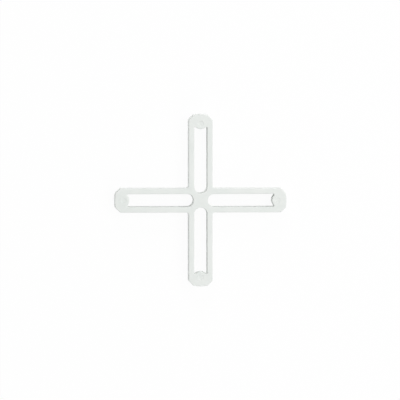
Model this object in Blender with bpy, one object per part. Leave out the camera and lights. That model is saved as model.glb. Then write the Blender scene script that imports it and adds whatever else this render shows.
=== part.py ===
"""Open-armed cross spacer for floor and wall tiles, moulded in one piece of white plastic.

Metres, +Z up. The origin is the centre of the underside. The four arms lie along X and Y.
Sizes in plan are those of the widest section, just above the underside. From there the walls
draw in towards the top face by the draft angle, so a slot is a little wider at the top.
"""

from math import acos, asin, cos, pi, radians, sin, sqrt

import bmesh
import bpy
from mathutils import Matrix, Vector

MM = 0.001

# Cross
JOINT_WIDTH = 5.0 * MM  # width of an arm, which sets the joint between two tiles
SPAN = 35.4 * MM  # from tip to tip
THICKNESS = 3.2 * MM
INNER_FILLET = 0.5 * MM  # between the sides of two neighbouring arms
TIP_RISE = 0.4 * MM  # how far the crown of a tip stands past a square end
TIP_CHAMFER = 1.15 * MM  # from the crown back to where a chamfer meets the side of the arm
CHAMFER_ANGLE = radians(45)  # between a chamfer and the side of the arm
TIP_ROUND = 0.4 * MM  # at both ends of a chamfer

# Slots
RAIL_WIDTH = 1.2 * MM  # each of the two side walls of an arm
HUB_WEB = 3.0 * MM  # solid left at the crossing, between two slots that face each other
END_WALL = 2.65 * MM  # solid from the square end of a slot to the tip of its arm
SLOT_CORNER = 0.12 * MM  # round in the two corners of that square end

# Round pad that bulges from each tip into its slot
PAD_RISE = 0.4 * MM  # how far the pad stands past the square end of the slot
PAD_SHOULDER = 0.27 * MM  # square end left on each side of the pad

# Witness mark of the ejector pin on each pad
MARK_RADIUS = 0.55 * MM
MARK_DEPTH = 0.06 * MM
MARK_SETBACK = 1.2 * MM  # from the crown of the pad to the middle of the mark

# Section of a wall
DRAFT = radians(0.5)
TOP_ROUND = 0.15 * MM
BASE_ROUND = 0.1 * MM

# Straight facets in each curve
FILLET_STEPS = 6
TIP_ROUND_STEPS = 3
TIP_CROWN_STEPS = 10
SLOT_ROUND_STEPS = 20
SLOT_CORNER_STEPS = 3
PAD_STEPS = 12
MARK_STEPS = 20
TOP_ROUND_STEPS = 4
BASE_ROUND_STEPS = 2

SHARP_ANGLE = radians(30)
ARM_TURNS = [Matrix.Rotation(quarter * pi / 2, 3, "Z") for quarter in range(4)]

# White plastic, a trace cooler and greener than neutral
PLASTIC_COLOUR = (0.80, 0.83, 0.79, 1.0)
PLASTIC_ROUGHNESS = 0.45

HALF_SLOT = JOINT_WIDTH / 2 - RAIL_WIDTH
SLOT_END = SPAN / 2 - END_WALL


def arc_radius(half_chord, rise):
    """Radius of the arc that stands `rise` above the middle of its chord."""
    return (half_chord**2 + rise**2) / (2 * rise)


def arc(centre_x, centre_y, radius, start, end, steps):
    """Points along an arc in plan, both ends included, from one angle to another."""
    angles = [start + (end - start) * step / steps for step in range(steps + 1)]
    return [Vector((centre_x + radius * cos(a), centre_y + radius * sin(a), 0)) for a in angles]


def arm_outline(inset):
    """The outside of the +X arm, from the fillet on its -Y side round its tip.

    It stops at the end of its +Y side, where the fillet of the next arm begins.
    The inset draws the outline in, into the material.
    """
    half_width = JOINT_WIDTH / 2
    fillet_centre = half_width + INNER_FILLET
    crown_radius = arc_radius(half_width, TIP_RISE)
    crown_x = SPAN / 2 - crown_radius
    # The upper chamfer faces this way, and the centres of its two rounds lie this far out that way
    facing = pi / 2 - CHAMFER_ANGLE
    reach = (SPAN / 2 - TIP_CHAMFER) * cos(facing) + half_width * sin(facing) - TIP_ROUND
    # One round touches the side of the arm and the chamfer
    side_y = half_width - TIP_ROUND
    side_x = (reach - side_y * sin(facing)) / cos(facing)
    # The other touches the chamfer and, from inside, the crown
    orbit = crown_radius - TIP_ROUND
    meeting = facing - acos((reach - crown_x * cos(facing)) / orbit)
    end_x = crown_x + orbit * cos(meeting)
    end_y = orbit * sin(meeting)
    radius = TIP_ROUND - inset
    upper = arc(end_x, end_y, radius, meeting, facing, TIP_ROUND_STEPS)
    upper += arc(side_x, side_y, radius, facing, pi / 2, TIP_ROUND_STEPS)
    lower = [Vector((point.x, -point.y, 0)) for point in reversed(upper)]
    crown = arc(crown_x, 0, crown_radius - inset, -meeting, meeting, TIP_CROWN_STEPS)
    fillet = arc(fillet_centre, -fillet_centre, INNER_FILLET + inset, pi, pi / 2, FILLET_STEPS)
    return fillet + lower + crown[1:-1] + upper


def cross_outline(inset):
    """The whole outside, anticlockwise: the four arms one after another."""
    return [turn @ point for turn in ARM_TURNS for point in arm_outline(inset)]


def slot_outline(inset):
    """The slot in the +X arm, anticlockwise: round at the hub, square with a pad at the tip.

    The inset moves its walls into the material, which widens the slot and shrinks the pad.
    """
    round_x = HUB_WEB / 2 + HALF_SLOT
    hub_end = arc(round_x, 0, HALF_SLOT + inset, pi / 2, 3 * pi / 2, SLOT_ROUND_STEPS)
    corner_x = SLOT_END - SLOT_CORNER
    corner_y = HALF_SLOT - SLOT_CORNER
    corner_radius = SLOT_CORNER + inset
    lower_corner = arc(corner_x, -corner_y, corner_radius, -pi / 2, 0, SLOT_CORNER_STEPS)
    upper_corner = arc(corner_x, corner_y, corner_radius, 0, pi / 2, SLOT_CORNER_STEPS)
    full_radius = arc_radius(HALF_SLOT - PAD_SHOULDER, PAD_RISE)
    pad_x = SLOT_END - PAD_RISE + full_radius
    pad_radius = full_radius - inset
    half_chord = sqrt(PAD_RISE * (2 * pad_radius - PAD_RISE))
    half_angle = asin(half_chord / pad_radius)
    pad = arc(pad_x, 0, pad_radius, pi + half_angle, pi - half_angle, PAD_STEPS)
    return hub_end + lower_corner + pad + upper_corner


def wall_section():
    """Heights and insets up a wall: a small round at the base, the draft, the top round."""
    top_centre_z = THICKNESS - TOP_ROUND
    # Both rounds touch the drafted wall between them, and the base round is widest at inset 0
    wall_height = top_centre_z - BASE_ROUND
    inward = (TOP_ROUND - BASE_ROUND + wall_height * sin(DRAFT)) / cos(DRAFT)
    top_centre_inset = BASE_ROUND + inward
    base = arc(BASE_ROUND, BASE_ROUND, BASE_ROUND, 3 * pi / 2, pi - DRAFT, BASE_ROUND_STEPS)
    top = arc(top_centre_inset, top_centre_z, TOP_ROUND, pi - DRAFT, pi / 2, TOP_ROUND_STEPS)
    return [(point.y, point.x) for point in base + top]


def add_ring(mesh, points, height, turn):
    """A closed ring of edges through plan points at one height, turned to its arm."""
    verts = [mesh.verts.new(turn @ Vector((point.x, point.y, height))) for point in points]
    return [mesh.edges.new((verts[i - 1], verts[i])) for i in range(len(verts))]


def add_wall(mesh, outline, section, turn):
    """A wall along an outline, bridged from level to level. Gives its lowest and top rings."""
    rings = [add_ring(mesh, outline(inset), height, turn) for height, inset in section]
    for below, above in zip(rings, rings[1:]):
        bmesh.ops.bridge_loops(mesh, edges=below + above)
    return rings[0], rings[-1]


def add_mark(mesh, turn):
    """The shallow round recess that an ejector pin leaves in a pad. Gives its rim."""
    pad_crown = SLOT_END - PAD_RISE
    circle = arc(pad_crown + MARK_SETBACK, 0, MARK_RADIUS, 0, 2 * pi, MARK_STEPS)[:-1]
    rim = add_ring(mesh, circle, THICKNESS, turn)
    floor = add_ring(mesh, circle, THICKNESS - MARK_DEPTH, turn)
    bmesh.ops.bridge_loops(mesh, edges=rim + floor)
    bmesh.ops.contextual_create(mesh, geom=floor)
    return rim


def build_mesh():
    """The one closed body: outer wall, four slot walls, top with its marks, and underside."""
    mesh = bmesh.new()
    section = wall_section()
    base_rings, top_rings = add_wall(mesh, cross_outline, section, ARM_TURNS[0])
    for turn in ARM_TURNS:
        slot_base, slot_top = add_wall(mesh, slot_outline, section, turn)
        base_rings += slot_base
        top_rings += slot_top + add_mark(mesh, turn)
    bmesh.ops.triangle_fill(mesh, use_beauty=True, edges=base_rings, normal=(0, 0, -1))
    bmesh.ops.triangle_fill(mesh, use_beauty=True, edges=top_rings, normal=(0, 0, 1))
    bmesh.ops.recalc_face_normals(mesh, faces=mesh.faces)
    return mesh


def white_plastic():
    material = bpy.data.materials.new("white_plastic")
    material.use_nodes = True
    shader = material.node_tree.nodes["Principled BSDF"]
    shader.inputs["Base Color"].default_value = PLASTIC_COLOUR
    shader.inputs["Roughness"].default_value = PLASTIC_ROUGHNESS
    shader.inputs["Metallic"].default_value = 0.0
    return material


def make_spacer():
    data = bpy.data.meshes.new("cross_spacer")
    mesh = build_mesh()
    mesh.to_mesh(data)
    mesh.free()
    data.shade_smooth()
    data.set_sharp_from_angle(angle=SHARP_ANGLE)
    data.materials.append(white_plastic())
    spacer = bpy.data.objects.new("cross_spacer", data)
    bpy.context.scene.collection.objects.link(spacer)
    return spacer


def main():
    for old in list(bpy.data.objects):
        bpy.data.objects.remove(old, do_unlink=True)
    make_spacer()


main()
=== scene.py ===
"""The looks of the one-piece cross spacer: a fine surface, its white plastic, floor, light and camera.

Metres, +Z up. Image up is +Y and image right is +X.
"""

from math import acos, asin, cos, pi, radians, sin, sqrt, tan

import bmesh
import bpy
from mathutils import Matrix, Vector


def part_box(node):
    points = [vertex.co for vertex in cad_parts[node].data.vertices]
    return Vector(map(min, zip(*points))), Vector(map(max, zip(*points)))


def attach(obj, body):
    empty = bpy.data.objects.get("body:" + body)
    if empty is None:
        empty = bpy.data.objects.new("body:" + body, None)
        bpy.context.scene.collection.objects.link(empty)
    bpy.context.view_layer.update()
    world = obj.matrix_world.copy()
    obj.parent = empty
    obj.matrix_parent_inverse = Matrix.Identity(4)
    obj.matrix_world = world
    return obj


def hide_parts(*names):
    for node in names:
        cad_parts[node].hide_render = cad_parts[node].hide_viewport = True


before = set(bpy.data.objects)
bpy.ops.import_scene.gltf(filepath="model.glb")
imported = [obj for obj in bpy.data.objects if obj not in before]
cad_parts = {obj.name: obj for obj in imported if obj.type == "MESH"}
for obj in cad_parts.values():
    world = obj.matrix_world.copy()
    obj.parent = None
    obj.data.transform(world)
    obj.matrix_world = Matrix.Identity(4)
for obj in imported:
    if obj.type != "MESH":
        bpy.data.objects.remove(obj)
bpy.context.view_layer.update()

MM = 0.001
NODE = "cross_spacer"
LOW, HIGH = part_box(NODE)

# The moulding, with the overall sizes from the frame
SPAN = HIGH.x - LOW.x
THICKNESS = HIGH.z - LOW.z
JOINT_WIDTH = 5.0 * MM
INNER_FILLET = 0.5 * MM
TIP_RISE = 0.4 * MM
TIP_CHAMFER = 1.15 * MM
CHAMFER_ANGLE = radians(45)
TIP_ROUND = 0.4 * MM
RAIL_WIDTH = 1.2 * MM
HUB_WEB = 3.0 * MM
END_WALL = 2.65 * MM
SLOT_CORNER = 0.12 * MM
PAD_RISE = 0.4 * MM
PAD_SHOULDER = 0.27 * MM
DRAFT = radians(0.5)
TOP_ROUND = 0.15 * MM
BASE_ROUND = 0.1 * MM
FLAT_MARGIN = 0.03 * MM  # ring just inside the rounded edges, which keeps the flat faces flat in shading

# Ejector mark: its setback from the crown of the pad, and radius and depth of its steps, rim to floor
MARK_SETBACK = 1.2 * MM
MARK_PROFILE = [
    (0.62 * MM, 0.0),
    (0.59 * MM, 0.0),
    (0.57 * MM, 0.004 * MM),
    (0.55 * MM, 0.018 * MM),
    (0.54 * MM, 0.042 * MM),
    (0.52 * MM, 0.056 * MM),
    (0.49 * MM, 0.06 * MM),
]

# Facets of the fine surface
FILLET_STEPS = 16
TIP_ROUND_STEPS = 10
TIP_CROWN_STEPS = 32
SLOT_ROUND_STEPS = 48
SLOT_CORNER_STEPS = 8
PAD_STEPS = 32
MARK_STEPS = 48
TOP_ROUND_STEPS = 10
BASE_ROUND_STEPS = 5

ARM_TURNS = [Matrix.Rotation(quarter * pi / 2, 3, "Z") for quarter in range(4)]
HALF_SLOT = JOINT_WIDTH / 2 - RAIL_WIDTH
SLOT_END = SPAN / 2 - END_WALL

# White plastic: two shades of its slow clouds, the roughness that its grain gives, and their sizes
DARKER_SHADE = (0.790, 0.823, 0.797, 1.0)
LIGHTER_SHADE = (0.825, 0.848, 0.824, 1.0)
SMOOTHEST, ROUGHEST = 0.42, 0.54
CLOUD_SIZE = 3.5 * MM
WAVE_SIZE = 1.8 * MM
WAVE_HEIGHT = 0.02 * MM
GRAIN_SIZE = 0.16 * MM
GRAIN_HEIGHT = 0.004 * MM
GLOW_DEPTH = 0.5 * MM  # how far light spreads inside the plastic
NOISE_LOW, NOISE_HIGH = 0.3, 0.7  # a noise value seldom leaves this range

# Floor
FLOOR_SIZE = 3.0
FLOOR_GAP = 0.02 * MM  # keeps the floor clear of the underside
FLOOR_WHITE = 0.92
SHADOW_SHARE = 0.05  # how much of the floor's own light and shade shows through the white background

# Light. An irradiance here is divided by pi, so that 1 shows a white surface as white
WORLD_LIGHT = 0.48
LAMP_DISTANCE = 0.6
LAMP_SIZE = 0.30

# Camera, from the photograph's frame of 400 pixels
FRAME_PIXELS = 400
PIXELS_PER_MM = 4.868
LENS_MM = 800.0  # so long that the view has next to no perspective
SENSOR_MM = 36.0
TILT_LEFT = radians(3.1)  # the camera stands this far to the left of straight above
TILT_UP = radians(2.9)  # and this far towards the top of the image
TOP_CENTRE_PIXEL = (200.77, 200.50)  # where the centre of the top face shows


def arc_radius(half_chord, rise):
    """Radius of the arc that stands `rise` above the middle of its chord."""
    return (half_chord**2 + rise**2) / (2 * rise)


def arc(centre_x, centre_y, radius, start, end, steps):
    """Points along an arc in plan, both ends included, from one angle to another."""
    angles = [start + (end - start) * step / steps for step in range(steps + 1)]
    return [Vector((centre_x + radius * cos(a), centre_y + radius * sin(a), 0)) for a in angles]


def arm_outline(inset):
    """The outside of the +X arm, from the fillet on its -Y side round its tip."""
    half_width = JOINT_WIDTH / 2
    fillet_centre = half_width + INNER_FILLET
    crown_radius = arc_radius(half_width, TIP_RISE)
    crown_x = SPAN / 2 - crown_radius
    # The upper chamfer faces this way, and the centres of its two rounds lie this far out that way
    facing = pi / 2 - CHAMFER_ANGLE
    reach = (SPAN / 2 - TIP_CHAMFER) * cos(facing) + half_width * sin(facing) - TIP_ROUND
    # One round touches the side of the arm and the chamfer
    side_y = half_width - TIP_ROUND
    side_x = (reach - side_y * sin(facing)) / cos(facing)
    # The other touches the chamfer and, from inside, the crown
    orbit = crown_radius - TIP_ROUND
    meeting = facing - acos((reach - crown_x * cos(facing)) / orbit)
    end_x = crown_x + orbit * cos(meeting)
    end_y = orbit * sin(meeting)
    radius = TIP_ROUND - inset
    upper = arc(end_x, end_y, radius, meeting, facing, TIP_ROUND_STEPS)
    upper += arc(side_x, side_y, radius, facing, pi / 2, TIP_ROUND_STEPS)
    lower = [Vector((point.x, -point.y, 0)) for point in reversed(upper)]
    crown = arc(crown_x, 0, crown_radius - inset, -meeting, meeting, TIP_CROWN_STEPS)
    fillet = arc(fillet_centre, -fillet_centre, INNER_FILLET + inset, pi, pi / 2, FILLET_STEPS)
    return fillet + lower + crown[1:-1] + upper


def cross_outline(inset):
    """The whole outside, anticlockwise: the four arms one after another."""
    return [turn @ point for turn in ARM_TURNS for point in arm_outline(inset)]


def slot_outline(inset):
    """The slot in the +X arm, anticlockwise: round at the hub, square with a pad at the tip."""
    round_x = HUB_WEB / 2 + HALF_SLOT
    hub_end = arc(round_x, 0, HALF_SLOT + inset, pi / 2, 3 * pi / 2, SLOT_ROUND_STEPS)
    corner_x = SLOT_END - SLOT_CORNER
    corner_y = HALF_SLOT - SLOT_CORNER
    corner_radius = SLOT_CORNER + inset
    lower_corner = arc(corner_x, -corner_y, corner_radius, -pi / 2, 0, SLOT_CORNER_STEPS)
    upper_corner = arc(corner_x, corner_y, corner_radius, 0, pi / 2, SLOT_CORNER_STEPS)
    full_radius = arc_radius(HALF_SLOT - PAD_SHOULDER, PAD_RISE)
    pad_x = SLOT_END - PAD_RISE + full_radius
    pad_radius = full_radius - inset
    half_chord = sqrt(PAD_RISE * (2 * pad_radius - PAD_RISE))
    half_angle = asin(half_chord / pad_radius)
    pad = arc(pad_x, 0, pad_radius, pi + half_angle, pi - half_angle, PAD_STEPS)
    return hub_end + lower_corner + pad + upper_corner


def wall_section():
    """Heights and insets up a wall, with a flat ring at each end."""
    top_centre_z = THICKNESS - TOP_ROUND
    wall_height = top_centre_z - BASE_ROUND
    inward = (TOP_ROUND - BASE_ROUND + wall_height * sin(DRAFT)) / cos(DRAFT)
    top_centre_inset = BASE_ROUND + inward
    base = arc(BASE_ROUND, BASE_ROUND, BASE_ROUND, 3 * pi / 2, pi - DRAFT, BASE_ROUND_STEPS)
    top = arc(top_centre_inset, top_centre_z, TOP_ROUND, pi - DRAFT, pi / 2, TOP_ROUND_STEPS)
    flat_base = (0.0, BASE_ROUND + FLAT_MARGIN)
    flat_top = (THICKNESS, top_centre_inset + FLAT_MARGIN)
    return [flat_base] + [(point.y, point.x) for point in base + top] + [flat_top]


def add_bands(mesh, rings):
    """Rings of matching points, joined by bands of four-sided faces. Gives the rings' corners."""
    loops = [[mesh.verts.new(point) for point in ring] for ring in rings]
    for lower, upper in zip(loops, loops[1:]):
        for i in range(len(lower)):
            mesh.faces.new((lower[i - 1], lower[i], upper[i], upper[i - 1]))
    return loops


def edges_of(mesh, loop):
    """The edges round a ring."""
    return [mesh.edges.get((loop[i - 1], loop[i])) for i in range(len(loop))]


def add_wall(mesh, outline, turn):
    """A wall along an outline, turned to its arm. Gives the edges of its lowest and top rings."""
    rings = []
    for height, inset in wall_section():
        rings.append([turn @ Vector((point.x, point.y, height)) for point in outline(inset)])
    loops = add_bands(mesh, rings)
    return edges_of(mesh, loops[0]), edges_of(mesh, loops[-1])


def add_mark(mesh, turn):
    """The shallow round recess that an ejector pin leaves in a pad. Gives the edges of its rim."""
    centre_x = SLOT_END - PAD_RISE + MARK_SETBACK
    rings = []
    for radius, depth in MARK_PROFILE:
        circle = arc(centre_x, 0, radius, 0, 2 * pi, MARK_STEPS)[:-1]
        rings.append([turn @ Vector((point.x, point.y, THICKNESS - depth)) for point in circle])
    loops = add_bands(mesh, rings)
    mesh.faces.new(loops[-1])
    return edges_of(mesh, loops[0])


def moulding_mesh():
    """The fine closed surface of the whole cross."""
    mesh = bmesh.new()
    base_edges, top_edges = add_wall(mesh, cross_outline, ARM_TURNS[0])
    for turn in ARM_TURNS:
        slot_base, slot_top = add_wall(mesh, slot_outline, turn)
        base_edges += slot_base
        top_edges += slot_top + add_mark(mesh, turn)
    bmesh.ops.triangle_fill(mesh, use_beauty=True, edges=base_edges, normal=(0, 0, -1))
    bmesh.ops.triangle_fill(mesh, use_beauty=True, edges=top_edges, normal=(0, 0, 1))
    bmesh.ops.recalc_face_normals(mesh, faces=mesh.faces)
    data = bpy.data.meshes.new("moulding")
    mesh.to_mesh(data)
    mesh.free()
    data.shade_smooth()
    return data


def white_plastic():
    """White plastic as moulded: satin, a trace green, with a fine grain from the mould."""
    material = bpy.data.materials.new("white_plastic")
    material.use_nodes = True
    nodes = material.node_tree.nodes
    links = material.node_tree.links
    shader = nodes["Principled BSDF"]
    shader.inputs["Metallic"].default_value = 0.0
    shader.inputs["IOR"].default_value = 1.49
    shader.inputs["Specular IOR Level"].default_value = 0.35
    shader.inputs["Subsurface Weight"].default_value = 0.15
    shader.inputs["Subsurface Radius"].default_value = (1.0, 1.0, 1.0)
    shader.inputs["Subsurface Scale"].default_value = GLOW_DEPTH
    place = nodes.new("ShaderNodeTexCoord")

    def noise(size, detail):
        """Noise whose blotches are about `size` across."""
        texture = nodes.new("ShaderNodeTexNoise")
        texture.inputs["Scale"].default_value = 1 / size
        texture.inputs["Detail"].default_value = detail
        links.new(place.outputs["Object"], texture.inputs["Vector"])
        return texture.outputs["Fac"]

    def spread(value, low, high):
        """A noise value mapped from its usual range to the range low to high."""
        mapping = nodes.new("ShaderNodeMapRange")
        mapping.inputs["From Min"].default_value = NOISE_LOW
        mapping.inputs["From Max"].default_value = NOISE_HIGH
        mapping.inputs["To Min"].default_value = low
        mapping.inputs["To Max"].default_value = high
        links.new(value, mapping.inputs["Value"])
        return mapping.outputs["Result"]

    clouds = noise(CLOUD_SIZE, 2.0)
    grain = noise(GRAIN_SIZE, 3.0)
    colour = nodes.new("ShaderNodeMix")
    colour.data_type = "RGBA"
    colour.inputs["A"].default_value = DARKER_SHADE
    colour.inputs["B"].default_value = LIGHTER_SHADE
    links.new(spread(clouds, 0.0, 1.0), colour.inputs["Factor"])
    links.new(colour.outputs["Result"], shader.inputs["Base Color"])
    links.new(spread(grain, SMOOTHEST, ROUGHEST), shader.inputs["Roughness"])
    waves = nodes.new("ShaderNodeBump")
    waves.inputs["Distance"].default_value = WAVE_HEIGHT
    waves.inputs["Strength"].default_value = 0.5
    links.new(noise(WAVE_SIZE, 1.0), waves.inputs["Height"])
    texture = nodes.new("ShaderNodeBump")
    texture.inputs["Distance"].default_value = GRAIN_HEIGHT
    texture.inputs["Strength"].default_value = 0.6
    links.new(grain, texture.inputs["Height"])
    links.new(waves.outputs["Normal"], texture.inputs["Normal"])
    links.new(texture.outputs["Normal"], shader.inputs["Normal"])
    return material


def make_moulding():
    piece = bpy.data.objects.new("cross_moulding", moulding_mesh())
    bpy.context.scene.collection.objects.link(piece)
    piece.data.materials.append(white_plastic())
    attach(piece, "root")
    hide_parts(NODE)


def seen_directly(nodes):
    """One where a ray comes from the camera, a reflection or clear material, and zero elsewhere."""
    path = nodes.new("ShaderNodeLightPath")
    links = nodes.id_data.links
    total = path.outputs["Is Camera Ray"]
    for name in ("Is Glossy Ray", "Is Transmission Ray"):
        highest = nodes.new("ShaderNodeMath")
        highest.operation = "MAXIMUM"
        links.new(total, highest.inputs[0])
        links.new(path.outputs[name], highest.inputs[1])
        total = highest.outputs["Value"]
    return total


def make_floor():
    """A white floor. Seen directly it is nearly pure white, and keeps a faint shadow."""
    mesh = bmesh.new()
    bmesh.ops.create_grid(mesh, x_segments=1, y_segments=1, size=FLOOR_SIZE / 2)
    data = bpy.data.meshes.new("floor")
    mesh.to_mesh(data)
    mesh.free()
    floor = bpy.data.objects.new("floor", data)
    floor.location.z = LOW.z - FLOOR_GAP
    bpy.context.scene.collection.objects.link(floor)
    material = bpy.data.materials.new("floor_white")
    material.use_nodes = True
    nodes = material.node_tree.nodes
    links = material.node_tree.links
    nodes.clear()
    paper = nodes.new("ShaderNodeBsdfDiffuse")
    paper.inputs["Color"].default_value = (FLOOR_WHITE, FLOOR_WHITE, FLOOR_WHITE, 1.0)
    glow = nodes.new("ShaderNodeEmission")
    glow.inputs["Strength"].default_value = 1.0
    share = nodes.new("ShaderNodeMath")
    share.operation = "MULTIPLY"
    share.inputs[1].default_value = 1.0 - SHADOW_SHARE
    links.new(seen_directly(nodes), share.inputs[0])
    mix = nodes.new("ShaderNodeMixShader")
    links.new(share.outputs["Value"], mix.inputs["Fac"])
    links.new(paper.outputs["BSDF"], mix.inputs[1])
    links.new(glow.outputs["Emission"], mix.inputs[2])
    output = nodes.new("ShaderNodeOutputMaterial")
    links.new(mix.outputs["Shader"], output.inputs["Surface"])
    data.materials.append(material)


def make_world():
    """White where it is seen, and an even light on the object."""
    world = bpy.data.worlds.new("studio")
    bpy.context.scene.world = world
    world.use_nodes = True
    nodes = world.node_tree.nodes
    links = world.node_tree.links
    background = nodes["Background"]
    background.inputs["Color"].default_value = (1.0, 1.0, 1.0, 1.0)
    strength = nodes.new("ShaderNodeMapRange")
    strength.inputs["To Min"].default_value = WORLD_LIGHT
    strength.inputs["To Max"].default_value = 1.0
    links.new(seen_directly(nodes), strength.inputs["Value"])
    links.new(strength.outputs["Result"], background.inputs["Strength"])


def add_softbox(name, azimuth, elevation, irradiance):
    """A square softbox that faces the object, from angles in degrees, and what it gives face on."""
    data = bpy.data.lights.new(name, "AREA")
    data.shape = "SQUARE"
    data.size = LAMP_SIZE
    # A small distant square gives radiance * area / distance squared, and radiance = power / (pi * area)
    data.energy = irradiance * pi * pi * LAMP_DISTANCE**2
    lamp = bpy.data.objects.new(name, data)
    turned, raised = radians(azimuth), radians(elevation)
    away = Vector((cos(turned) * cos(raised), sin(turned) * cos(raised), sin(raised)))
    lamp.location = away * LAMP_DISTANCE
    lamp.rotation_euler = away.to_track_quat("Z", "Y").to_euler()
    bpy.context.scene.collection.objects.link(lamp)


def make_lights():
    """Three softboxes: from image up, from high on the right, and from the lower right."""
    add_softbox("up", azimuth=90, elevation=28, irradiance=0.30)
    add_softbox("right_up", azimuth=15, elevation=56, irradiance=0.31)
    add_softbox("right_down", azimuth=300, elevation=35, irradiance=0.23)


def make_camera():
    """Nearly straight down from far away, a little from the left and the top of the image."""
    data = bpy.data.cameras.new("camera")
    data.lens = LENS_MM
    data.sensor_width = SENSOR_MM
    distance = FRAME_PIXELS / PIXELS_PER_MM * MM * LENS_MM / SENSOR_MM
    back = Vector((-tan(TILT_LEFT), tan(TILT_UP), 1.0)).normalized()
    up = (Vector((0, 1, 0)) - back * back.y).normalized()
    right = up.cross(back)
    off_right = (FRAME_PIXELS / 2 - TOP_CENTRE_PIXEL[0]) / PIXELS_PER_MM * MM
    off_down = (FRAME_PIXELS / 2 - TOP_CENTRE_PIXEL[1]) / PIXELS_PER_MM * MM
    target = Vector((0, 0, HIGH.z)) + right * off_right - up * off_down
    camera = bpy.data.objects.new("camera", data)
    camera.matrix_world = Matrix.Translation(target + back * distance) @ Matrix(
        (right, up, back)
    ).transposed().to_4x4()
    data.clip_start = distance / 100
    data.clip_end = distance * 10
    bpy.context.scene.collection.objects.link(camera)
    bpy.context.scene.camera = camera


bpy.context.scene.view_settings.view_transform = "Standard"
make_moulding()
make_floor()
make_world()
make_lights()
make_camera()
